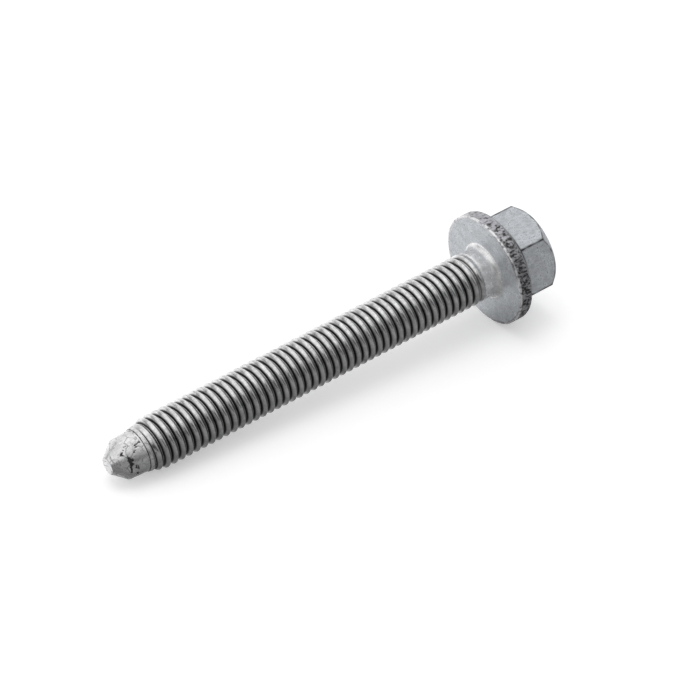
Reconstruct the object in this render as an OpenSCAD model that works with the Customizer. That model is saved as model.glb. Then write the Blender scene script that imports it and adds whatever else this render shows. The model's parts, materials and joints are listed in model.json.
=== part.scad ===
// Hex flange bolt, cold formed in one piece with a rolled right-hand thread.
// Each sub-part is drawn upright on the bolt's own axis, with the bearing face
// at z = 0, the point upwards and the head below. The finished bolt is then
// laid down along +X, on the flange's edge and the last full thread crest.

/* [Head] */
// Width of the hex across its flats
across_flats = 13; // [12.6:0.1:13.4]
// Width across the rounded corners of the hex
across_corners = 14.8; // [14.2:0.1:15]
// Height of the head from the bearing face to its top
head_height = 8.4; // [7.6:0.1:9.4]
// Diameter of the flat circle on top of the hex
top_circle_d = 12.6; // [11.6:0.1:12.8]
// Height that the top chamfer takes off each corner of the hex
corner_drop = 1.4; // [0.8:0.1:1.8]

/* [Flange] */
// Outer diameter of the flange
flange_d = 17.2; // [16:0.1:18.4]
// Height of the flange's upright rim
rim_height = 2.15; // [1.6:0.05:2.6]
// Slope of the flange's top from its rim up to the hex, in degrees
flange_slope = 25; // [15:1:30]
// Bevel of the rim at the bearing face
front_bevel = 0.12; // [0.05:0.01:0.25]
// Radius of the rim's rounded back edge
back_round = 0.35; // [0.2:0.05:0.5]

/* [Shank] */
// Length from the bearing face to the end of the point
under_head_length = 65.4; // [50:0.1:68]
// Diameter of the smooth collar between the flange and the thread
collar_d = 7.6; // [7.3:0.05:7.8]
// Height of the collar, with its fillet
collar_height = 1.9; // [1.5:0.1:3]
// Radius of the fillet between the collar and the bearing face
seat_fillet = 0.9; // [0.5:0.1:1.2]

/* [Thread] */
// Diameter over the crests of the thread
thread_d = 7.87; // [7.8:0.01:8]
// Diameter at the bottom of the grooves
root_d = 6.47; // [6.4:0.01:6.7]
// Distance from one crest to the next
pitch = 1.25; // [1.25:0.05:1.5]
// Height of the crests that stand on the line at angle 0
crest_start = 0; // [0:0.05:1.2]
// Turns over which the grooves run out at the collar
runout_turns = 2; // [1:0.25:3]

/* [Point] */
// Length of the smooth pilot between the thread and the shoulder
pilot_length = 2.9; // [2:0.1:4]
// Diameter of the pilot where it meets the thread
pilot_d = 6.32; // [6.1:0.01:6.4]
// Diameter of the shoulder where the point begins
shoulder_d = 6; // [5.6:0.1:6.1]
// Length of the conical point
point_length = 2.05; // [1.5:0.05:2.6]
// Diameter of the flat end
end_d = 2.56; // [2:0.02:3.6]
// Length of the flare from the pilot up to the full thread
flare_length = 2.4; // [1.5:0.1:3.5]
// Height of the small lip where the flare meets the pilot
flare_lip = 0.07; // [0.04:0.01:0.12]

/* [Resting place] */
// Turn of the hex's corner away from the line that lies lowest, in degrees
hex_turn = 15; // [0:1:59]

/* [Hidden] */
$fn = 96;

collar_r = collar_d / 2;
crest_r = thread_d / 2;
root_r = root_d / 2;
pilot_r = pilot_d / 2;
flange_r = flange_d / 2;

shoulder_z = under_head_length - point_length;
pilot_z = shoulder_z - pilot_length;
full_thread_z = pilot_z - flare_length;
// The flange's top slope meets the hex at the circle through its corners.
slope_rise = tan(flange_slope) * (flange_r - across_corners / 2);

// One turn of the thread as rows: height from the crest in pitches, and how far
// the row stands out of the groove, from 0 at the root to 1 at the crest.
thread_rows = [[-0.56, 0], [-0.44, 0], [-0.17, 0.84], [0, 1], [0.17, 0.84]];
row_count = len(thread_rows);
// The thread's surface keeps to about this many triangles.
thread_triangles = 11500;
// Depth to which the thread's plain ends are sunk into the collar and the pilot
thread_sink = 0.6;
// The thread's plain end is this much smaller in radius than the collar.
collar_step = 0.04;
thread_foot_z = collar_height - thread_sink;
steps = floor(thread_triangles * pitch / (2 * row_count * (pilot_z - thread_foot_z)));
// Crest height at angle 0 of the lowest turn that fits above the foot
first_crest_z = crest_start + pitch * ceil((thread_foot_z - crest_start) / pitch + 0.6);
// The last turn ends this share of a pitch below the pilot.
end_gap = 0.1;
helix_steps = floor((pilot_z - first_crest_z) / pitch * steps + (0.56 - end_gap - 1) * steps);

// Share of the way from 0 to 1, with an even start and end
function ease(t) = t <= 0 ? 0 : t >= 1 ? 1 : t * t * (3 - 2 * t);
function mix(a, b, t) = a + (b - a) * ease(t);

// Radius of the flare that cuts the crests down to the pilot
function flare_radius(z) =
    let (along = (pilot_z - z) / flare_length)
    along >= 1 ? crest_r : pilot_r + flare_lip + (crest_r - pilot_r - flare_lip) * along;

// Crests rise out of the collar in half the run-out and end under the flare.
function crest_radius(z) =
    min(mix(collar_r - collar_step, crest_r, (z - collar_height) / (runout_turns * pitch / 2)),
        flare_radius(z));

// Grooves deepen from the collar over the run-out and fade in the flare's last turn.
function groove_radius(z) =
    max(mix(collar_r - collar_step, root_r, (z - collar_height) / (runout_turns * pitch)),
        mix(root_r, flare_radius(z), (z - pilot_z) / pitch + 1.1));

// Turns from the line at angle 0 to a step. Two steps stand astride that line, so
// that the thread lies on two points of its crest.
function turn(step) = (step + 0.5) / steps;
function ring_point(z, step, r) = [r * cos(360 * turn(step)), r * sin(360 * turn(step)), z];

// Vertex of the thread at a step along the helix and a row of its section
function thread_point(step, row) =
    let (z = first_crest_z + pitch * (turn(step) + thread_rows[row][0]),
         r = groove_radius(z) + (crest_radius(z) - groove_radius(z)) * thread_rows[row][1])
    ring_point(z, step, r);

// The rows' first row runs one turn further than the others, because it is also
// the upper edge of the turn below. Each end is closed by a strip up to a flat ring.
module rolled_thread() {
    rows_at = helix_steps + steps + 1;
    foot_at = rows_at + (helix_steps + 1) * (row_count - 1);
    top_at = foot_at + steps;
    turn_end = helix_steps % steps;

    function vertex(step, row) =
        row == 0 ? step
        : row == row_count ? step + steps
        : rows_at + step * (row_count - 1) + row - 1;
    function foot(step) = foot_at + step % steps;
    function top(step) = top_at + step % steps;

    points = [
        for (step = [0 : helix_steps + steps]) thread_point(step, 0),
        for (step = [0 : helix_steps]) for (row = [1 : row_count - 1]) thread_point(step, row),
        for (step = [0 : steps - 1]) ring_point(thread_foot_z, step, collar_r - collar_step),
        for (step = [0 : steps - 1]) ring_point(pilot_z, step, flare_radius(pilot_z)),
    ];
    helix_faces = [
        for (step = [0 : helix_steps - 1]) for (row = [0 : row_count - 1])
            for (half = [0, 1])
                half == 0
                ? [vertex(step, row), vertex(step, row + 1), vertex(step + 1, row + 1)]
                : [vertex(step, row), vertex(step + 1, row + 1), vertex(step + 1, row)],
    ];
    foot_faces = [
        for (step = [0 : steps - 2]) for (half = [0, 1])
            half == 0
            ? [foot(step), vertex(step, 0), vertex(step + 1, 0)]
            : [foot(step), vertex(step + 1, 0), foot(step + 1)],
        [vertex(steps - 1, 0), foot(0), foot(steps - 1)],
        [vertex(steps - 1, 0), vertex(0, 0), foot(0)],
        for (row = [0 : row_count - 1])
            [vertex(steps - 1, 0), vertex(0, row + 1), vertex(0, row)],
        [for (step = [0 : steps - 1]) foot(step)],
    ];
    top_faces = [
        for (step = [1 : steps - 1]) for (half = [0, 1])
            half == 0
            ? [vertex(helix_steps + step, 0), top(turn_end + step), top(turn_end + step + 1)]
            : [vertex(helix_steps + step, 0), top(turn_end + step + 1), vertex(helix_steps + step + 1, 0)],
        [vertex(helix_steps + 1, 0), top(turn_end), top(turn_end + 1)],
        [vertex(helix_steps + 1, 0), vertex(helix_steps + steps, 0), top(turn_end)],
        for (row = [0 : row_count - 1])
            [vertex(helix_steps + 1, 0), vertex(helix_steps, row), vertex(helix_steps, row + 1)],
        [for (step = [0 : steps - 1]) top(steps - 1 - step)],
    ];
    color("silver")
        polyhedron(points, concat(helix_faces, foot_faces, top_faces), convexity = 10);
}

// Collar with the round fillet that spreads it into the bearing face
module collar() {
    color("gainsboro")
        rotate_extrude()
            difference() {
                translate([0, -rim_height / 2])
                    square([collar_r + seat_fillet, rim_height / 2 + collar_height]);
                translate([collar_r + seat_fillet, seat_fillet])
                    circle(seat_fillet);
                translate([collar_r, seat_fillet])
                    square([2 * seat_fillet, collar_height]);
            }
}

// Round flange: a flat bearing face, an upright rim and a sloped top
module flange() {
    color("lightgrey")
        rotate_extrude() {
            polygon([
                [0, 0],
                [flange_r - front_bevel, 0],
                [flange_r, -front_bevel],
                [flange_r, -rim_height + back_round],
                [flange_r - back_round, -rim_height],
                [across_corners / 2, -rim_height - slope_rise],
                [0, -rim_height - slope_rise],
            ]);
            translate([flange_r - back_round, -rim_height + back_round])
                circle(back_round);
        }
}

// Hex with its corners turned to a round and its top chamfered to a circle
module hex_head() {
    color("darkgrey")
        intersection() {
            translate([0, 0, -head_height])
                rotate([0, 0, hex_turn])
                    cylinder(h = head_height - rim_height / 2, d = across_flats / cos(30), $fn = 6);
            rotate_extrude()
                polygon([
                    [0, -rim_height / 2],
                    [across_corners / 2, -rim_height / 2],
                    [across_corners / 2, -head_height + corner_drop],
                    [top_circle_d / 2, -head_height],
                    [0, -head_height],
                ]);
        }
}

// Pilot and conical point beyond the thread
module point() {
    color("whitesmoke")
        rotate_extrude()
            polygon([
                [0, pilot_z - thread_sink],
                [pilot_r, pilot_z - thread_sink],
                [pilot_r, pilot_z],
                [shoulder_d / 2, shoulder_z],
                [end_d / 2, under_head_length],
                [0, under_head_length],
            ]);
}

// The thread's end rests on the highest full crest, on the two steps beside the line
// at angle 0: their height and their distance below the axis
rest_crest_z = crest_start + pitch * (floor((full_thread_z - crest_start) / pitch) + turn(0));
rest_crest_r = crest_r * cos(360 * turn(0));
lie_angle = atan((flange_r - rest_crest_r) / (rest_crest_z + front_bevel));
rest_height = flange_r * cos(lie_angle) - front_bevel * sin(lie_angle);
// The bolt's lowest and highest places along +X, when it lies, from its bearing face
back_x = -head_height * cos(lie_angle) - top_circle_d / 2 * sin(lie_angle);
front_x = under_head_length * cos(lie_angle) + end_d / 2 * sin(lie_angle);

module flange_bolt() {
    translate([-(back_x + front_x) / 2, 0, rest_height])
        rotate([0, 90 + lie_angle, 0])
            union() {
                hex_head();
                flange();
                collar();
                rolled_thread();
                point();
            }
}

flange_bolt();
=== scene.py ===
import json
import math

import bpy
import numpy as np
from mathutils import Matrix, Vector


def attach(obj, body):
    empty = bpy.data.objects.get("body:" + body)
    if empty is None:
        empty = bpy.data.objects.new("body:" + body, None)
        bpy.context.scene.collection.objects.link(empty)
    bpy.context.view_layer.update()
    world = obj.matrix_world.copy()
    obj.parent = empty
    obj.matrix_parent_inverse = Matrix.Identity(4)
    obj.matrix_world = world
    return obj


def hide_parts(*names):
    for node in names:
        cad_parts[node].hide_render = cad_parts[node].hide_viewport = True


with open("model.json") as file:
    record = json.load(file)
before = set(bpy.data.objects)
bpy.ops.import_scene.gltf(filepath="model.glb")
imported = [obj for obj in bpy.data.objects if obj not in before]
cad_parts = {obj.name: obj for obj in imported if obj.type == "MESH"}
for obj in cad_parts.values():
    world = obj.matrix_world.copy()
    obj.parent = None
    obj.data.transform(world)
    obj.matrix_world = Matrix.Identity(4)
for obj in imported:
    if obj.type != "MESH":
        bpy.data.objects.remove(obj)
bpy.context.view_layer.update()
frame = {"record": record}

bl_info = {
    "name": "Flange bolt",
    "version": (1, 0, 0),
    "blender": (4, 5, 0),
    "location": "View3D > Sidebar > Flange bolt",
    "description": "Zinc-plated hex flange bolt with a rolled thread, lying on a pale floor",
    "category": "Object",
}

MOUNTS = {mount["name"]: mount for mount in frame["record"]["mounts"]}
MM = 0.001

# Worn metal of edges
WORN = (0.95, 0.95, 0.95)
# Levels of the tent's patch, from the side away from it, and of the card, from the bolt outwards
PATCH_LEVELS = (
    (0.0, 0.03), (0.25, 0.03), (0.4, 0.1), (0.54, 0.33), (0.75, 0.52), (0.9, 0.85), (0.95, 1.0)
)
CARD_LEVELS = ((0.0, 1.0), (0.12, 0.9), (0.2, 0.45), (0.3, 0.16), (0.5, 0.22), (1.0, 0.26))
# Directions of the tent's wall behind the bolt and of its window over the point
WALL_WAY = (-0.2, -0.98, 0)
WINDOW_WAY = (0.7, -0.15, 0.7)

# Numbers of the finishes in the bolt's list of materials
MATTE, ROLLED, RIM, POINT, COLLAR = range(5)

# Columns round the thread, and how many times finer the head and the point are
THREAD_COLUMNS = 60
HEAD_FINER = 4
POINT_FINER = 3
# Rows across one pitch, as sixtieths of a turn: close together on the crest and in the root
PITCH_ROWS = np.array([0, 3, 6, 9, 12, 17, 22, 26, 28, 30, 32, 34, 38, 43, 48, 51, 54, 57])
# Width over which two surfaces that meet are blended
BLEND = 0.12 * MM
# Height above the collar where the grooves begin, and where the finish goes from collar to rolled
GROOVE_START = 0.2 * MM
COLLAR_REACH = 0.7 * MM

# Scars of the point: height above the shoulder and angle of both ends, and half the width, in
# millimetres and degrees. They are laid out on a cylinder of the given radius.
SCAR_RADIUS = 3 * MM
SCARS = (
    (-1.65, 150, -2.55, 154, 0.09),
    (-1.55, 144, -2.05, 145, 0.05),
    (-1.05, 135, -1.45, 138, 0.07),
    (-0.25, 160, -0.65, 159, 0.05),
    (-0.1, 128, -0.5, 116, 0.17),
    (-0.12, 118, -0.3, 108, 0.2),
    (-0.02, 110, 0.02, 84, 0.13),
    (-0.75, 100, -0.8, 91, 0.1),
    (-1.0, 99, -1.05, 87, 0.1),
    (-0.85, 76, -0.9, 70, 0.1),
    (0.4, 149, 0.5, 145, 0.12),
)


# Properties

def length(name, millimetres, words):
    """A property for a length, whose default is given in millimetres."""
    return bpy.props.FloatProperty(
        name=name, description=words, default=millimetres * MM, unit="LENGTH", precision=5
    )


def angle(name, degrees, words):
    """A property for an angle, whose default is given in degrees."""
    return bpy.props.FloatProperty(
        name=name, description=words, default=math.radians(degrees), unit="ROTATION"
    )


def colour(name, value, words):
    """A property for a colour."""
    return bpy.props.FloatVectorProperty(
        name=name, description=words, default=value, size=3, subtype="COLOR", min=0, max=1
    )


def share(name, value, words):
    """A property for a number from 0 to 1."""
    return bpy.props.FloatProperty(name=name, description=words, default=value, min=0, max=1)


class BoltSizes(bpy.types.PropertyGroup):
    """Sizes of the bolt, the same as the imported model's"""

    across_flats: length("Across flats", 13, "Width of the hex across its flats")
    across_corners: length("Across corners", 14.8, "Width across the hex's rounded corners")
    head_height: length("Head height", 8.4, "Bearing face to the top of the head")
    top_circle: length("Top circle", 12.6, "Diameter of the flat circle on top of the hex")
    corner_drop: length("Corner drop", 1.4, "Height that the chamfer takes off each corner")
    hex_turn: angle("Hex turn", 15, "Turn of a hex corner from the bolt's lowest line")
    flange: length("Flange", 17.2, "Diameter of the flange")
    rim_height: length("Rim height", 2.15, "Height of the flange's upright rim")
    flange_slope: angle("Flange slope", 25, "Slope of the flange's top")
    collar: length("Collar", 7.6, "Diameter of the smooth collar under the head")
    collar_height: length("Collar height", 1.9, "Height of the collar with its fillet")
    seat_fillet: length("Seat fillet", 0.9, "Radius between the collar and the bearing face")
    thread: length("Thread", 7.87, "Diameter over the thread's crests")
    root: length("Root", 6.47, "Diameter at the bottom of the grooves")
    pitch: length("Pitch", 1.25, "Distance from one crest to the next")
    runout: length("Run-out", 2.5, "Length over which the grooves run out at the collar")
    under_head: length("Length", 65.4, "Bearing face to the end of the point")
    pilot: length("Pilot", 6.32, "Diameter of the pilot where it meets the thread")
    pilot_length: length("Pilot length", 2.9, "Length of the smooth pilot")
    shoulder: length("Shoulder", 6, "Diameter where the conical point begins")
    point_length: length("Point length", 2.05, "Length of the conical point")
    end: length("End", 2.56, "Diameter of the flat end")
    flare_length: length("Flare", 2.4, "Length of the flare up to the full thread")
    flare_lip: length("Flare lip", 0.07, "Height of the lip between pilot and flare")


class BoltFinish(bpy.types.PropertyGroup):
    """Colours and roughness of the bolt's surfaces"""

    plated: colour("Plated", (0.62, 0.645, 0.675), "Matte zinc of the head and the bearing face")
    plated_rough: share("Plated roughness", 0.42, "Roughness of the matte zinc")
    rolled: colour("Rolled", (0.84, 0.84, 0.84), "Zinc on the rolled thread")
    rolled_rough: share("Rolled roughness", 0.18, "Roughness of the rolled thread")
    rim: colour("Rim", (0.5, 0.5, 0.53), "Zinc on the flange's rim")
    scuffed: colour("Scuffed", (0.9, 0.9, 0.91), "Scraped metal of the point and the collar")
    scuffed_rough: share("Scuffed roughness", 0.26, "Roughness of the scraped metal")
    # Colour of the grime in scars, and also of the painted shade in the grooves, on the head and on the
    # point
    dirt_and_shade: colour("Dirt", (0.03, 0.03, 0.03), "Dark soil in scars and grooves")


class BoltStage(bpy.types.PropertyGroup):
    """Floor, light and camera"""

    floor: colour("Floor", (0.9, 0.9, 0.9), "Matte pale floor")
    floor_lift: share("Floor lift", 0.3, "How much lighter the floor is to the camera")
    world_light: share("World light", 0.78, "Strength of the white world on the floor")
    lamp_power: bpy.props.FloatProperty(
        name="Lamp power", description="Power of the soft lamp over the floor", default=1.4, unit="POWER"
    )
    lamp_size: length("Lamp size", 650, "Diameter of the soft lamp")
    lamp_place: bpy.props.FloatVectorProperty(
        name="Lamp place",
        description="Where the soft lamp hangs",
        default=(0.1, -0.12, 1.05),
        subtype="TRANSLATION",
    )
    patch: bpy.props.FloatVectorProperty(
        name="Patch",
        description="Direction of the tent's patch of light from the bolt",
        default=(-0.4, -0.35, 0.85),
        subtype="DIRECTION",
    )
    azimuth: angle("Azimuth", 53.738, "Direction of the camera from the bolt, from +X to +Y")
    elevation: angle("Elevation", 37.005, "Height of the camera above the floor")
    distance: length("Distance", 430.3, "Camera to the point it looks at")
    target: bpy.props.FloatVectorProperty(
        name="Target",
        description="Point that the camera looks at",
        default=(-0.003383, 0.000871, 0.005657),
        subtype="TRANSLATION",
    )
    lens: length("Lens", 155.78, "Focal length on a frame 36 mm wide")


# Shape

def ease(t):
    """Goes evenly from 0 to 1 as t does: three t squared less two t cubed."""
    t = np.clip(t, 0, 1)
    return t * t * (3 - 2 * t)


def mix(a, b, t):
    """Goes along a straight line from a to b as t goes from 0 to 1."""
    return a + (b - a) * t


def soft_min(a, b, width):
    """The smaller of two values, on a parabola where they differ by less than width."""
    h = np.clip(0.5 + 0.5 * (b - a) / width, 0, 1)
    return mix(b, a, h) - width * h * (1 - h)


def soft_max(a, b, width):
    """The larger of two values, rounded in the same way."""
    return -soft_min(-a, -b, width)


def bell(distance, width):
    """1 on a line and less away from it: e to the minus square of the distance over the width."""
    return np.exp(-((distance / width) ** 2))


def waves(points, wavelength, seed, count=32):
    """A smooth random field of size about 1: a sum of cosines that run in random directions."""
    dice = np.random.default_rng(seed)
    way = dice.normal(size=(count, 3))
    way *= 2 * np.pi / wavelength / np.linalg.norm(way, axis=1)[:, None]
    phase = dice.uniform(0, 2 * np.pi, count)
    return np.cos(points @ way.T + phase).sum(-1) * math.sqrt(2 / count)


def on_circle(radius, turn, height):
    """Points at a radius, an angle and a height on the bolt's axis."""
    parts = np.broadcast_arrays(radius * np.cos(turn), radius * np.sin(turn), height)
    return np.stack(parts, -1)


def columns(count):
    """Angles of the columns round the axis, from the lowest line."""
    return np.arange(count) * 2 * np.pi / count


def profile_rows(corners, width, arc_steps=5):
    """Rows of (radius, height) down a profile whose corners may differ from column to column.

    Each corner is (radius, height, round, steps to the next corner). The steps divide the
    straight line between two corners evenly. A round of some length replaces its corner by a
    conic arc that leaves both lines at that length from the corner: a circle's arc.
    """
    at = [np.stack([np.full(width, 1.0) * c[0], np.full(width, 1.0) * c[1]], -1) for c in corners]
    rows = []
    last = at[0]
    for k, (_, _, round_length, _) in enumerate(corners):
        start = stop = at[k]
        if round_length:
            before = at[k - 1] - at[k]
            after = at[k + 1] - at[k]
            before /= np.linalg.norm(before, axis=-1, keepdims=True)
            after /= np.linalg.norm(after, axis=-1, keepdims=True)
            start = at[k] + before * round_length
            stop = at[k] + after * round_length
            weight = np.sqrt((1 - (before * after).sum(-1, keepdims=True)) / 2)
        if k:
            steps = corners[k - 1][3]
            rows += [mix(last, start, n / steps) for n in range(1, steps)]
        rows.append(start)
        if round_length:
            for t in np.arange(1, arc_steps + 1) / arc_steps:
                hub = 2 * t * (1 - t) * weight
                ends = (1 - t) ** 2 * start + t**2 * stop
                rows.append((ends + hub * at[k]) / ((1 - t) ** 2 + t**2 + hub))
        last = stop
    return np.array(rows)


def grid_normals(points):
    """Unit normals of a grid closed round the axis: along a row crossed with down the rows."""
    along = np.roll(points, -1, 1) - np.roll(points, 1, 1)
    down = np.gradient(points, axis=0)
    normal = np.cross(along, down)
    return normal / np.maximum(np.linalg.norm(normal, axis=-1, keepdims=True), 1e-15)


class Shell:
    """Gathers grids of points, with how worn each is and how much grime and painted shade it has, and
    the faces between them.
    """

    def __init__(self):
        self.points, self.worn, self.dirt_and_shade, self.faces, self.finish = [], [], [], [], []
        self.count = 0

    def add_points(self, points, worn=0.0, dirt_and_shade=0.0):
        """Takes in an array of points and returns their numbers in an array of the same form."""
        form = points.shape[:-1]
        numbers = self.count + np.arange(int(np.prod(form))).reshape(form)
        self.points.append(points.reshape(-1, 3))
        self.worn.append(np.broadcast_to(worn, form).ravel())
        self.dirt_and_shade.append(np.broadcast_to(dirt_and_shade, form).ravel())
        self.count += numbers.size
        return numbers

    def add_faces(self, a, b, c, d=None, finish=0):
        """Takes in triangles, or quads cut from a to c, whose corners go clockwise seen from
        outside, and turns them round, so that they face outwards."""
        corners = [(a, c, b)] if d is None else [(a, c, b), (a, d, c)]
        for three in corners:
            faces = np.stack([np.asarray(part).ravel() for part in np.broadcast_arrays(*three)], -1)
            self.faces.append(faces)
            self.finish.append(np.broadcast_to(np.ravel(finish), len(faces)))

    def rings(self, numbers, finish=0):
        """Faces between the rows of a grid that closes round the axis."""
        after = np.roll(numbers, -1, 1)
        self.add_faces(numbers[:-1], numbers[1:], after[1:], after[:-1], finish=finish)

    def fan_rings(self, coarse, fine, finish=0, coarse_first=True):
        """Faces between a ring and one that has some times as many points: each coarse point fans
        out to the fine ones up to half a gap away, and a triangle bridges the gap's middle."""
        finer = len(fine) // len(coarse)
        ahead = np.roll(coarse, -1)
        half = finer // 2
        triangles = [(coarse, fine[half::finer], ahead)]
        for k in range(finer):
            near = fine[k::finer]
            far = np.roll(fine, -k - 1)[::finer]
            triangles.append((coarse if k < half else ahead, near, far))
        for a, b, c in triangles:
            self.add_faces(*((a, b, c) if coarse_first else (a, c, b)), finish=finish)

    def fan_pole(self, pole, ring, pole_first, finish=0):
        """Faces between a ring and a point on the axis, above the ring where pole_first is true."""
        after = np.roll(ring, -1)
        self.add_faces(pole, *((after, ring) if pole_first else (ring, after)), finish=finish)

    def mesh(self, name, place=np.eye(4)):
        """The mesh of it all, moved to a place given as a matrix."""
        points = np.concatenate(self.points) @ place[:3, :3].T + place[:3, 3]
        faces = np.concatenate(self.faces)
        mesh = bpy.data.meshes.new(name)
        mesh.vertices.add(len(points))
        mesh.vertices.foreach_set("co", points.astype(np.float32).ravel())
        mesh.loops.add(faces.size)
        mesh.loops.foreach_set("vertex_index", faces.astype(np.int32).ravel())
        mesh.polygons.add(len(faces))
        mesh.polygons.foreach_set("loop_start", np.arange(0, faces.size, 3, dtype=np.int32))
        mesh.polygons.foreach_set("material_index", np.concatenate(self.finish).astype(np.int32))
        mesh.polygons.foreach_set("use_smooth", np.ones(len(faces), bool))
        # The second attribute holds grime in scars together with painted shade
        for layer_name, values in (("worn", self.worn), ("dirt_and_shade", self.dirt_and_shade)):
            layer = mesh.attributes.new(layer_name, "FLOAT", "POINT")
            layer.data.foreach_set("value", np.concatenate(values).astype(np.float32))
        mesh.update()
        if mesh.validate():
            raise RuntimeError(f"{name} has faulty faces")
        return mesh


def hex_radius(sizes, turn):
    """Half the width across flats over the cosine of the angle from the nearest flat's middle,
    and no more than the radius of the round corners."""
    sixth = math.pi / 3
    off = (turn - sizes.hex_turn) % sixth - sixth / 2
    return soft_min(sizes.across_flats / 2 / np.cos(off), sizes.across_corners / 2, BLEND)


def chamfer_height(sizes, side_r):
    """Height of the chamfer's edge where the hex has some radius: a cone from the top circle."""
    top_r, corner_r = sizes.top_circle / 2, sizes.across_corners / 2
    return -sizes.head_height + sizes.corner_drop * (side_r - top_r) / (corner_r - top_r)


def head_rows(sizes, turn):
    """The head's profile in each column: top, chamfer cone, hex, sloped flange, rim, bearing face,
    fillet and collar. The chamfer is a cone from the top circle to the corners' circle."""
    s = sizes
    flange_r, top_r = s.flange / 2, s.top_circle / 2
    side_r = hex_radius(s, turn)
    chamfer_z = chamfer_height(s, side_r)
    slope_z = -s.rim_height - math.tan(s.flange_slope) * (flange_r - side_r)
    collar_r = s.collar / 2
    foot_z = 1.15 * s.seat_fillet
    return profile_rows([
        (0.12 * top_r, -s.head_height, 0, 9),
        (top_r, -s.head_height, 0.16 * MM, 3),
        (side_r, chamfer_z, 0.07 * MM, 22),
        (side_r, slope_z, 0.45 * MM, 5),
        (flange_r, -s.rim_height, 0.35 * MM, 18),
        (flange_r, -0.02 * MM, 0.11 * MM, 15),
        (collar_r, 0, s.seat_fillet, 2),
        (collar_r, foot_z, 0, 0),
    ], len(turn))


def thread_section(phase):
    """Height of the thread's section, 0 at the root to 1 at the crest, at a phase from the crest.

    Where u goes from 0 on the crest to 1 in the root, the crest is a round dome, 1 less 1.3 u
    squared. The flank goes on from it as a straight line, 1.47 less 1.56 u, and a narrow arc
    rounds the root at 0.
    """
    u = 2 * np.abs(phase)
    dome = 1 - 1.3 * u * u
    flank = 1.468 - 1.56 * u
    return soft_max(np.where(u < 0.6, dome, flank), 0, 0.12)


def thread_radius(sizes, turn, z):
    """Radius of the thread at an angle and a height: from the groove's radius to the crest's.

    A right-hand helix: the crest climbs one pitch a turn. Crests and grooves come out of the
    collar over the run-out. The flare, a cone, takes the crests down to the pilot.
    """
    s = sizes
    crest_r, collar_r = s.thread / 2, s.collar / 2
    pilot_z = s.under_head - s.point_length - s.pilot_length
    above_collar = z - s.collar_height - GROOVE_START
    phase = (z / s.pitch - turn / (2 * np.pi) + 0.5) % 1 - 0.5
    lip_r = s.pilot / 2 + s.flare_lip
    flare_r = lip_r + (crest_r - lip_r) * (pilot_z - z) / s.flare_length
    risen = mix(collar_r, crest_r, ease(above_collar / (0.6 * s.runout)))
    crest = soft_min(risen, flare_r, BLEND)
    fade = ease((z - pilot_z) / (0.45 * s.pitch) + 1.15)
    groove = mix(collar_r, s.root / 2, ease(above_collar / s.runout))
    groove = mix(groove, flare_r, fade)
    return groove + (crest - groove) * thread_section(phase)


def painted_groove_shade(sizes, turn, z):
    """Painted shade on the thread: none on the crest, most low on the flanks, and less in the root,
    which leaves a painted highlight line there.
    """
    height = thread_section((z / sizes.pitch - turn / (2 * np.pi) + 0.5) % 1 - 0.5)
    # Painted shade low on the flanks, taken back in the root to leave a painted highlight line
    low = ease((0.88 - height) / 0.72) - 0.75 * ease((0.1 - height) / 0.1)
    return low * ease((z - sizes.collar_height) / sizes.runout)


def head_marks(sizes, turn, radius, z, points):
    """Depth of the scars, how worn the head is, and its grime and painted shade, each as an array over
    its grid.

    The rim is covered with short scars and light grime, and has painted shade on the side that
    faces the camera, where its scars are deeper too. A bright jagged burr runs along its edge at
    the bearing face. Painted shade lies in the crease at the foot of the hex and along the hex's
    edges, as a bell curve of the distance from each of these lines.
    """
    flange_r = sizes.flange / 2
    on_rim = ease((radius - flange_r + 0.45 * MM) / (0.3 * MM)) * ease((0.06 * MM - z) / (0.1 * MM))
    # 1 on the side that faces the camera, where the rim gets painted shade and deeper scars
    lean = 0.5 + 0.5 * np.cos(turn - math.radians(95))
    scars = waves(points, 0.8 * MM, 11) + 0.9 * waves(points, 0.42 * MM, 12)
    deep = ease((scars + lean - 0.9) / 1.2) * on_rim
    burr = bell(z + 0.1 * MM, 0.15 * MM) * ease((radius - flange_r + 0.3 * MM) / (0.15 * MM))
    burr = burr * ease(0.75 + 0.5 * waves(points, 0.7 * MM, 14))

    side_r = hex_radius(sizes, turn)
    half_side = math.pi / 6
    off_corner = np.abs((turn - sizes.hex_turn + half_side) % (2 * half_side) - half_side)
    on_hex = ease((-z - sizes.rim_height) / (0.4 * MM)) * (radius > side_r - 0.1 * MM)
    # Painted shade along the hex's corners and its top edge
    corner = bell(off_corner, 0.03) * on_hex
    top_edge = bell(z - chamfer_height(sizes, side_r), 0.12 * MM) * on_hex
    foot_z = -sizes.rim_height - math.tan(sizes.flange_slope) * (flange_r - side_r)
    # Painted shade in the crease at the foot of the hex
    foot = bell(z - foot_z, 0.3 * MM) * (z < -sizes.rim_height)

    patchy = 0.6 + 0.15 * waves(points, 1.2 * MM, 15)
    # Light grime on the rim, more in the scars, and painted shade on the side that faces the camera
    rim_soil_and_shade = (0.22 + 0.25 * deep + 0.3 * lean) * on_rim
    painted_edge_shade = np.maximum(corner * (patchy + 0.15), top_edge * patchy)
    soil_and_shade = np.maximum(rim_soil_and_shade, np.maximum(0.9 * foot, painted_edge_shade))
    return deep, burr, np.clip(soil_and_shade * (1 - burr), 0, 1)


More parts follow.
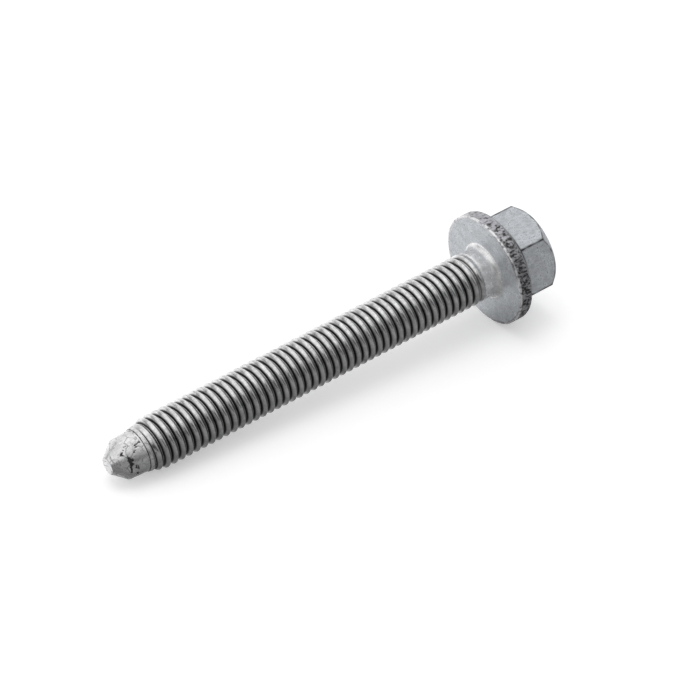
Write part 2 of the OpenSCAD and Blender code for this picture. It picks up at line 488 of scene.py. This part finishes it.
def build_head(shell, sizes):
    """Head, flange, bearing face and fillet. Returns the numbers of its last ring."""
    turn = columns(THREAD_COLUMNS * HEAD_FINER)
    rows = head_rows(sizes, turn)
    radius, z = rows[..., 0], rows[..., 1]
    points = on_circle(radius, turn, z)
    deep, burr, soil_and_shade = head_marks(sizes, turn, radius, z, points)
    lift = (-0.04 * deep + 0.035 * burr) * MM
    points = points + grid_normals(points) * lift[..., None]
    numbers = shell.add_points(points, worn=burr, dirt_and_shade=soil_and_shade)
    pole = shell.add_points(np.array([[0, 0, -sizes.head_height]]))[0]
    shell.fan_pole(pole, numbers[0], pole_first=False, finish=MATTE)

    middle_r, middle_z = radius[:-1].mean(1), z[:-1].mean(1)
    on_rim = (middle_r > sizes.flange / 2 - 0.16 * MM) & (middle_z > 0.15 * MM - sizes.rim_height)
    on_collar = (middle_z >= 0) & (middle_r < sizes.collar / 2 + 1.2 * sizes.seat_fillet)
    finish = np.where(on_collar, COLLAR, np.where(on_rim, RIM, MATTE))
    shell.rings(numbers, finish=finish[:, None] + np.zeros_like(numbers[:-1]))
    return numbers[-1], rows[-1, 0, 1]


def build_thread(shell, sizes, lower_ring, lower_z):
    """The thread on a grid whose rows climb with the helix, one pitch a turn.

    Row m of a column meets row m of the next. After the last column it meets the row one pitch
    further up in the first. Below, a strip joins the sloping first row to a flat ring on the
    collar. Above, flat rows fill the wedge up to the next flat ring, which is returned.
    """
    turn = columns(THREAD_COLUMNS)
    per_pitch = len(PITCH_ROWS)
    start_z = sizes.pitch * math.ceil(lower_z / sizes.pitch)
    pilot_z = sizes.under_head - sizes.point_length - sizes.pilot_length
    kept_free = 1.6 * sizes.pitch
    turns = int((pilot_z - kept_free - start_z) / sizes.pitch)
    rows = np.arange(turns * per_pitch + 1)
    rise = (rows // per_pitch + PITCH_ROWS[rows % per_pitch] / THREAD_COLUMNS) * sizes.pitch
    climb = sizes.pitch * np.arange(THREAD_COLUMNS) / THREAD_COLUMNS

    def place(angle, z):
        """The thread's surface at an angle and a height."""
        return on_circle(thread_radius(sizes, angle, z), angle, z)

    z = start_z + rise[:, None] + climb
    grid = shell.add_points(place(turn, z), dirt_and_shade=painted_groove_shade(sizes, turn, z))
    seam_rows = np.arange(1, per_pitch)
    seam_z = start_z + (turns + PITCH_ROWS[seam_rows] / THREAD_COLUMNS) * sizes.pitch
    seam = shell.add_points(place(turn[0], seam_z), dirt_and_shade=painted_groove_shade(sizes, turn[0], seam_z))
    flat_z = start_z + (turns + 1) * sizes.pitch
    ring = shell.add_points(
        place(turn, np.full(THREAD_COLUMNS, flat_z)), dirt_and_shade=painted_groove_shade(sizes, turn, flat_z)
    )
    finish = np.where(z[:-1] < sizes.collar_height + COLLAR_REACH, COLLAR, ROLLED)
    shell.add_faces(grid[:-1, :-1], grid[1:, :-1], grid[1:, 1:], grid[:-1, 1:], finish=finish[:, :-1])
    first = np.concatenate([grid[:, 0], seam, ring[:1]])
    last = grid[:, -1]
    next_up = first[per_pitch : per_pitch + len(last)]
    shell.add_faces(last[:-1], last[1:], next_up[1:], next_up[:-1], finish=finish[:, -1])

    flat = shell.add_points(on_circle(sizes.collar / 2, turn, lower_z + 0.04 * MM))
    shell.fan_rings(flat, lower_ring, finish=COLLAR, coarse_first=False)
    shell.add_faces(flat[:-1], grid[0, :-1], grid[0, 1:], flat[1:], finish=COLLAR)
    shell.add_faces(flat[-1], grid[0, -1], first[per_pitch], finish=COLLAR)
    shell.add_faces(flat[-1], first[per_pitch], first[per_pitch - 1], finish=COLLAR)
    shell.add_faces(flat[-1], first[1:per_pitch], first[: per_pitch - 1], finish=COLLAR)
    shell.add_faces(flat[-1], first[0], flat[0], finish=COLLAR)

    edge = grid[-1]
    reach = np.append(PITCH_ROWS, THREAD_COLUMNS)
    below = edge[:1]
    for n in range(1, per_pitch + 1):
        end = reach[n]
        if n < per_pitch:
            inner = shell.add_points(
                place(turn[1:end], np.full(end - 1, seam_z[n - 1])),
                dirt_and_shade=painted_groove_shade(sizes, turn[1:end], seam_z[n - 1]),
            )
            above = np.concatenate([seam[n - 1 : n], inner, edge[end : end + 1]])
        else:
            above = np.append(ring, ring[0])
        under = np.concatenate([below, edge[len(below) : end], [above[end]]])[: end + 1]
        shell.add_faces(under[: end - 1], above[: end - 1], above[1:end], under[1:end], finish=ROLLED)
        shell.add_faces(under[end - 1], above[end - 1], above[end], finish=ROLLED)
        below = above
    return ring, flat_z


def point_marks(sizes, turn, radius, z, points):
    """Depth of the scars, and the point's grime and painted shade, each as an array over its grid.

    A short stroke is deep where the distance to the straight line between its ends is small. A
    crescent of painted shade lies inside the shoulder on the side that faces the camera, and a
    shallow score line with a painted shadow of its step where the pilot meets the flare.
    """
    shoulder_z = sizes.under_head - sizes.point_length
    pilot_z = shoulder_z - sizes.pilot_length
    up = z - shoulder_z
    round_way = turn * SCAR_RADIUS
    rough = 1 + 0.35 * waves(points, 0.3 * MM, 21)
    deep = np.zeros_like(z)
    for low, first, high, last, half in SCARS:
        a = np.array([low * MM, math.radians(first) * SCAR_RADIUS])
        way = np.array([high * MM, math.radians(last) * SCAR_RADIUS]) - a
        along = np.clip(((up - a[0]) * way[0] + (round_way - a[1]) * way[1]) / (way @ way), 0, 1)
        far = np.hypot(up - a[0] - along * way[0], round_way - a[1] - along * way[1])
        deep = np.maximum(deep, ease(1.6 - far / (half * MM) * rough))
    # Painted shade: a crescent inside the shoulder on the side that faces the camera
    facing = ease(1 - np.abs(turn - math.radians(118)) / 0.8)
    crescent = bell(up + 0.06 * MM, (0.05 + 0.16 * facing) * MM) * facing
    # A shallow score line where the pilot meets the flare, dark with a painted shadow of the step
    scored_line_and_shadow = bell(z - pilot_z, 0.05 * MM) * (0.75 + 0.25 * rough)
    end_edge = bell(np.hypot(radius - sizes.end / 2, z - sizes.under_head), 0.07 * MM)
    soil_and_shade = np.maximum(np.maximum(deep, crescent), np.maximum(scored_line_and_shadow, 0.7 * end_edge))
    return np.maximum(deep, 0.7 * scored_line_and_shadow), soil_and_shade


def build_point(shell, sizes, lower_ring, lower_z):
    """Last turn of the thread, flare, pilot, conical point and flat end."""
    turn = columns(THREAD_COLUMNS * POINT_FINER)
    s = sizes
    shoulder_z = s.under_head - s.point_length
    pilot_z = shoulder_z - s.pilot_length
    rise = np.linspace(lower_z, pilot_z - 0.03 * MM, 32)[1:, None] + 0 * turn
    flare = np.stack([thread_radius(s, turn, rise), rise], -1)
    rest = profile_rows([
        (s.pilot / 2, pilot_z + 0.02 * MM, 0, 32),
        (s.shoulder / 2, shoulder_z, 0.12 * MM, 26),
        (s.end / 2, s.under_head, 0.07 * MM, 9),
        (0.12 * s.end, s.under_head, 0, 0),
    ], len(turn))
    rows = np.concatenate([flare, rest])
    radius, z = rows[..., 0], rows[..., 1]
    points = on_circle(radius, turn, z)
    deep, soil_and_shade = point_marks(s, turn, radius, z, points)
    # Painted shade in the last grooves, ending before the pilot
    grooves = painted_groove_shade(s, turn, z) * ease((pilot_z - 0.35 * MM - z) / (0.4 * MM))
    points = points - grid_normals(points) * (0.06 * MM * deep)[..., None]
    numbers = shell.add_points(points, dirt_and_shade=np.maximum(soil_and_shade, grooves))
    shell.fan_rings(lower_ring, numbers[0], finish=ROLLED)
    finish = np.where(rows[:-1, 0, 1] > pilot_z - 0.7 * MM, POINT, ROLLED)
    shell.rings(numbers, finish=finish[:, None] + np.zeros_like(numbers[:-1]))
    pole = shell.add_points(np.array([[0, 0, s.under_head]]))[0]
    shell.fan_pole(pole, numbers[-1], pole_first=True, finish=POINT)


def bolt_place():
    """The bolt's own frame as a matrix: origin in the middle of the bearing face, +Z to the point.

    The bearing face's mount gives the axis and the plane, the thread's mount a point on the
    axis. Angle 0 is the bolt's lowest line and a quarter turn the +Y side.
    """
    axis = Vector(MOUNTS["bearing_face"]["axis"]).normalized()
    on_axis = Vector(MOUNTS["thread"]["pos_m"])
    on_face = Vector(MOUNTS["bearing_face"]["pos_m"])
    origin = on_axis - axis * (on_axis - on_face).dot(axis)
    across = Vector((0, 1, 0))
    turn = Matrix((across.cross(axis), across, axis)).transposed().to_4x4()
    return Matrix.Translation(origin) @ turn


def bolt_mesh(sizes):
    """The whole closed surface as a mesh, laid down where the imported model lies."""
    shell = Shell()
    ring, z = build_head(shell, sizes)
    ring, z = build_thread(shell, sizes, ring, z)
    build_point(shell, sizes, ring, z)
    return shell.mesh("flange_bolt_surface", np.array(bolt_place()))


# Finishes

class Nodes:
    """Makes and links shader nodes in few words."""

    def __init__(self, tree):
        self.tree = tree
        tree.nodes.clear()

    def make(self, kind, inputs=None, **settings):
        """A node with its settings, whose inputs are given as values or as sockets to link."""
        node = self.tree.nodes.new(kind)
        for name, value in settings.items():
            setattr(node, name, value)
        for name, value in (inputs or {}).items():
            if isinstance(value, bpy.types.NodeSocket):
                self.tree.links.new(value, node.inputs[name])
            else:
                node.inputs[name].default_value = value
        return node

    def noise(self, place, size, detail=3.0):
        """Noise of a size in metres, from 0 to 1."""
        node = self.make(
            "ShaderNodeTexNoise", {"Vector": place, "Scale": 1 / size, "Detail": detail}
        )
        return node.outputs["Fac"]

    def turn(self, place, angles, along=1.0):
        """A place turned by angles, with the pattern drawn out along X where along is below 1."""
        inputs = {"Vector": place, "Rotation": angles, "Scale": (along, 1, 1)}
        return self.make("ShaderNodeMapping", inputs).outputs["Vector"]

    def dot(self, vector, way):
        """The dot product of two directions."""
        node = self.make("ShaderNodeVectorMath", {0: vector, 1: way}, operation="DOT_PRODUCT")
        return node.outputs["Value"]

    def stretch(self, value, low, high, out_low=0.0, out_high=1.0, kind="LINEAR"):
        """Carries the stretch from low to high evenly onto another, and holds beyond it."""
        node = self.make(
            "ShaderNodeMapRange",
            {"Value": value, "From Min": low, "From Max": high, "To Min": out_low, "To Max": out_high},
            interpolation_type=kind,
        )
        return node.outputs["Result"]

    def sum(self, a, b, operation="ADD"):
        """The sum of two values, or what another Math operation makes of them."""
        return self.make("ShaderNodeMath", {0: a, 1: b}, operation=operation).outputs[0]

    def ramp(self, value, levels):
        """A grey that goes smoothly through levels, each given with its place from 0 to 1."""
        node = self.make("ShaderNodeValToRGB", {"Fac": value})
        node.color_ramp.interpolation = "EASE"
        stops = node.color_ramp.elements
        for k, (place, level) in enumerate(levels):
            stop = stops[k] if k < 2 else stops.new(place)
            stop.position = place
            stop.color = (level, level, level, 1)
        return node.outputs["Color"]

    def blend(self, factor, a, b, kind="MIX"):
        """Goes from colour a to colour b, or to what the kind of blend makes of both."""
        node = self.make("ShaderNodeMix", data_type="RGBA", blend_type=kind)
        for socket, value in ((0, factor), (6, a), (7, b)):
            if isinstance(value, bpy.types.NodeSocket):
                self.tree.links.new(value, node.inputs[socket])
            elif socket:
                node.inputs[socket].default_value = (*value, 1)
            else:
                node.inputs[socket].default_value = value
        return node.outputs[2]


def shader(name):
    """A new material and the maker of its nodes."""
    material = bpy.data.materials.new(name)
    material.use_nodes = True
    return Nodes(material.node_tree), material


def seen_ray(n):
    """1 for a camera, glossy or transmission ray and 0 for any other."""
    path = n.make("ShaderNodeLightPath").outputs
    return n.sum(path["Is Camera Ray"], n.sum(path["Is Glossy Ray"], path["Is Transmission Ray"]))


def level_sheet(name, half_x, low_y, high_y, z):
    """A level rectangle that faces up."""
    mesh = bpy.data.meshes.new(name)
    corners = [(-half_x, low_y, z), (half_x, low_y, z), (half_x, high_y, z), (-half_x, high_y, z)]
    mesh.from_pydata(corners, [], [(0, 1, 2, 3)])
    return mesh


def place_on_stage(context, name, mesh):
    """An object of the stage, at the origin."""
    piece = bpy.data.objects.new(name, mesh)
    context.scene.collection.objects.link(piece)
    return piece


def zinc(name, tint, dirt_and_shade, rough, metal, strokes=0.0, specks=0.0, cracks=0.0, streaks=0.0):
    """Zinc on steel: mottled colour with dark specks, a fine grain, streaks along the axis, hair
    cracks, and the mesh's grime and painted shade in short strokes or evenly. Worn edges are bright."""
    n, material = shader(name)
    place = n.make("ShaderNodeTexCoord").outputs["Object"]
    axis = MOUNTS["thread"]["axis"]
    level = n.turn(place, (0, math.atan2(axis[2], axis[0]), 0))
    mottle = n.noise(place, 1.1 * MM)
    speck = n.noise(place, 0.16 * MM, 2.0)
    stroke = n.noise(n.turn(place, (0.5, 0.3, 0.7), 0.35), 0.3 * MM)
    streak = n.noise(n.turn(level, (0, 0, 0), 0.12), 0.22 * MM, 2.0)
    # How much grime and painted shade the mesh gives each point
    dirt_and_shade_amount = n.make("ShaderNodeAttribute", attribute_name="dirt_and_shade").outputs["Fac"]
    worn = n.make("ShaderNodeAttribute", attribute_name="worn").outputs["Fac"]

    edge = n.make(
        "ShaderNodeTexVoronoi", {"Vector": place, "Scale": 1 / (1.3 * MM)}, feature="DISTANCE_TO_EDGE"
    ).outputs["Distance"]
    hair = n.sum(n.stretch(edge, 0.01, 0.08, cracks, 0.0), n.stretch(mottle, 0.46, 0.56), "MULTIPLY")
    uneven = n.sum(n.sum(stroke, -0.5), strokes, "MULTIPLY")
    # Grime and painted shade have harder edges where they lie in strokes
    low, high = (0.35, 0.75) if strokes else (0.22, 0.8)
    scars_and_shade = n.stretch(n.sum(dirt_and_shade_amount, uneven), low, high, 0, 0.95)
    dots = n.stretch(n.sum(speck, n.sum(mottle, 0.35, "MULTIPLY")), 0.74, 0.86, 0, specks)
    soil_and_shade = n.sum(scars_and_shade, n.sum(hair, dots, "MAXIMUM"), "MAXIMUM")

    shade = n.stretch(n.sum(mottle, n.sum(stroke, 0.6, "MULTIPLY")), 0.55, 1.05, 0.7, 1.12)
    tone = n.make("ShaderNodeCombineColor", {"Red": shade, "Green": shade, "Blue": shade}).outputs[0]
    # Grime, hair cracks, specks and painted shade all take the dark colour
    colour = n.blend(soil_and_shade, n.blend(1.0, tint, tone, "MULTIPLY"), dirt_and_shade)
    colour = n.blend(worn, colour, WORN)
    patchy = n.stretch(mottle, 0.3, 0.7, rough - 0.05, rough + 0.05)
    roughness = n.sum(patchy, n.sum(soil_and_shade, 0.3, "MULTIPLY"))
    height = n.sum(n.sum(speck, 0.6, "MULTIPLY"), n.sum(streak, streaks, "MULTIPLY"))
    bump = n.make("ShaderNodeBump", {"Height": height, "Strength": 1.0, "Distance": 0.01 * MM})
    surface = n.make("ShaderNodeBsdfPrincipled", {
        "Base Color": colour, "Metallic": metal, "Roughness": roughness, "Normal": bump.outputs[0],
    })
    n.make("ShaderNodeOutputMaterial", {"Surface": surface.outputs[0]})
    return material


# Operators

class MakeBolt(bpy.types.Operator):
    """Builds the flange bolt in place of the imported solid"""

    bl_idname = "flange_bolt.make_bolt"
    bl_label = "Make bolt"

    def execute(self, context):
        sizes, finish = context.scene.bolt_sizes, context.scene.bolt_finish
        bolt = bpy.data.objects.new("bolt", bolt_mesh(sizes))
        context.scene.collection.objects.link(bolt)
        plated, rolled, dirt_and_shade = tuple(finish.plated), tuple(finish.rolled), tuple(finish.dirt_and_shade)
        rim, scuffed, rough = tuple(finish.rim), tuple(finish.scuffed), finish.scuffed_rough
        # In the order MATTE, ROLLED, RIM, POINT, COLLAR
        for material in (
            zinc("Matte zinc", plated, dirt_and_shade, finish.plated_rough, 0.6, specks=0.5),
            zinc("Rolled zinc", rolled, dirt_and_shade, finish.rolled_rough, 1.0, streaks=0.6),
            zinc("Scarred zinc", rim, dirt_and_shade, rough, 0.8, strokes=1.8),
            zinc(
                "Scuffed zinc", scuffed, dirt_and_shade, rough, 0.92,
                strokes=0.8, specks=0.3, cracks=0.6, streaks=0.5,
            ),
            zinc("Bright zinc", scuffed, dirt_and_shade, rough, 0.7),
        ):
            bolt.data.materials.append(material)
        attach(bolt, "root")
        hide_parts("flange_bolt")
        return {"FINISHED"}


class MakeStage(bpy.types.Operator):
    """Sets up the pale floor, the soft light and the camera"""

    bl_idname = "flange_bolt.make_stage"
    bl_label = "Make stage"

    def execute(self, context):
        stage = context.scene.bolt_stage
        self.make_floor(context, stage)
        self.make_light(context, stage)
        self.make_tent(context, stage)
        self.make_card(context)
        self.make_camera(context, stage)
        context.scene.view_settings.view_transform = "Standard"
        return {"FINISHED"}

    def make_floor(self, context, stage):
        """A matte floor. Camera, glossy and transmission rays see it a little lighter, so that it
        is white and keeps the bolt's shadow."""
        half = 3.0
        mesh = level_sheet("floor", half, -half, half, 0)
        n, material = shader("Pale floor")
        matte = n.make("ShaderNodeBsdfDiffuse", {"Color": (*stage.floor, 1)})
        strength = n.sum(seen_ray(n), stage.floor_lift, "MULTIPLY")
        lift = n.make("ShaderNodeEmission", {"Strength": strength})
        both = n.make("ShaderNodeAddShader", {0: matte.outputs[0], 1: lift.outputs[0]})
        n.make("ShaderNodeOutputMaterial", {"Surface": both.outputs[0]})
        mesh.materials.append(material)
        place_on_stage(context, "floor", mesh)

    def make_light(self, context, stage):
        """A plain white world, and a soft lamp that casts the shadow.

        The metal sees neither the world nor the lamp, but a tent round the bolt and the floor.
        """
        world = bpy.data.worlds.new("Studio")
        world.use_nodes = True
        context.scene.world = world
        n = Nodes(world.node_tree)
        strength = n.stretch(seen_ray(n), 0, 1, stage.world_light, 1.0)
        ground = n.make("ShaderNodeBackground", {"Color": (1, 1, 1, 1), "Strength": strength})
        n.make("ShaderNodeOutputWorld", {"Surface": ground.outputs[0]})

        lamp = bpy.data.lights.new("soft lamp", "AREA")
        lamp.energy = stage.lamp_power
        lamp.shape = "DISK"
        lamp.size = stage.lamp_size
        lamp_object = bpy.data.objects.new("soft lamp", lamp)
        lamp_object.location = stage.lamp_place
        lamp_object.rotation_euler = (-lamp_object.location).to_track_quat("-Z", "Y").to_euler()
        lamp_object.visible_glossy = False
        context.scene.collection.objects.link(lamp_object)

    def make_tent(self, context, stage):
        """A round tent that only the metal sees: a soft patch of light over the head, a window over
        the point, a white wall low behind the bolt, and dim cloth elsewhere.

        Each light is a function of the angle between the direction of a place on the tent and the
        light's own direction, and the brightest counts. None is brighter than white.
        """
        radius = 0.9
        rise = np.linspace(-math.pi / 2, math.pi / 2, 25)[:, None]
        shell = Shell()
        points = on_circle(radius * np.cos(rise), columns(48), radius * np.sin(rise))
        shell.rings(shell.add_points(points))
        mesh = shell.mesh("tent")
        n, material = shader("Tent")
        place = n.make("ShaderNodeTexCoord").outputs["Object"]
        way = n.make("ShaderNodeVectorMath", {0: place}, operation="NORMALIZE").outputs[0]
        over_head = n.ramp(n.stretch(n.dot(way, tuple(stage.patch)), -1, 1), PATCH_LEVELS)
        dim_end = n.stretch(n.dot(way, (1, 0, 0)), -0.9, -0.6, 0.1, 1.0)
        patch = n.sum(over_head, dim_end, "MULTIPLY")
        wall = n.stretch(n.dot(way, WALL_WAY), 0.5, 0.85, 0, 0.85, "SMOOTHSTEP")
        window = n.stretch(n.dot(way, WINDOW_WAY), 0.6, 0.9, 0, 0.95, "SMOOTHSTEP")
        lights = n.sum(patch, n.sum(wall, window, "MAXIMUM"), "MAXIMUM")
        self.glow_for_metal(context, "tent", mesh, n, material, lights)

    def make_card(self, context):
        """A grey card on the floor, under the bolt and in front of it, which only the metal sees.
        Its level goes from white at the edge under the bolt through dark to grey further out."""
        half, edge, grey_from = 0.6, -6 * MM, 24 * MM
        mesh = level_sheet("card", half, edge, half, 0.01 * MM)
        n, material = shader("Grey card")
        place = n.make("ShaderNodeTexCoord").outputs["Object"]
        across = n.make("ShaderNodeSeparateXYZ", {0: place}).outputs["Y"]
        level = n.ramp(n.stretch(across, edge, grey_from), CARD_LEVELS)
        self.glow_for_metal(context, "card", mesh, n, material, level)

    def glow_for_metal(self, context, name, mesh, n, material, strength):
        """Puts a glowing sheet on the stage that only glossy rays see."""
        glow = n.make("ShaderNodeEmission", {"Strength": strength})
        n.make("ShaderNodeOutputMaterial", {"Surface": glow.outputs[0]})
        mesh.materials.append(material)
        piece = place_on_stage(context, name, mesh)
        piece.visible_camera = False
        piece.visible_diffuse = False
        piece.visible_transmission = False
        piece.visible_shadow = False

    def make_camera(self, context, stage):
        """A camera at a distance, azimuth and elevation from its target, which it looks at."""
        camera = bpy.data.cameras.new("camera")
        camera.sensor_width = 36
        camera.lens = stage.lens / MM
        camera.clip_start = 0.01
        camera_object = bpy.data.objects.new("camera", camera)
        level = math.cos(stage.elevation)
        way = Vector((
            math.cos(stage.azimuth) * level, math.sin(stage.azimuth) * level, math.sin(stage.elevation)
        ))
        camera_object.location = Vector(stage.target) + way * stage.distance
        camera_object.rotation_euler = way.to_track_quat("Z", "Y").to_euler()
        context.scene.collection.objects.link(camera_object)
        context.scene.camera = camera_object


class BoltPanel(bpy.types.Panel):
    """Lists the operators and the sizes that they use"""

    bl_idname = "VIEW3D_PT_flange_bolt"
    bl_label = "Flange bolt"
    bl_space_type = "VIEW_3D"
    bl_region_type = "UI"
    bl_category = "Flange bolt"

    def draw(self, context):
        for operator, group in (
            (MakeBolt, context.scene.bolt_sizes),
            (None, context.scene.bolt_finish),
            (MakeStage, context.scene.bolt_stage),
        ):
            column = self.layout.column()
            if operator:
                column.operator(operator.bl_idname)
            for name in group.__annotations__:
                column.prop(group, name)


CLASSES = (BoltSizes, BoltFinish, BoltStage, MakeBolt, MakeStage, BoltPanel)


def register():
    """Adds the classes, and the groups of properties to the scene."""
    for cls in CLASSES:
        bpy.utils.register_class(cls)
    bpy.types.Scene.bolt_sizes = bpy.props.PointerProperty(type=BoltSizes)
    bpy.types.Scene.bolt_finish = bpy.props.PointerProperty(type=BoltFinish)
    bpy.types.Scene.bolt_stage = bpy.props.PointerProperty(type=BoltStage)


def unregister():
    """Takes away what register adds."""
    del bpy.types.Scene.bolt_sizes, bpy.types.Scene.bolt_finish, bpy.types.Scene.bolt_stage
    for cls in reversed(CLASSES):
        bpy.utils.unregister_class(cls)


def main():
    """Builds the bolt and its stage with the default sizes."""
    register()
    bpy.ops.flange_bolt.make_bolt()
    bpy.ops.flange_bolt.make_stage()


if __name__ == "__main__":
    main()
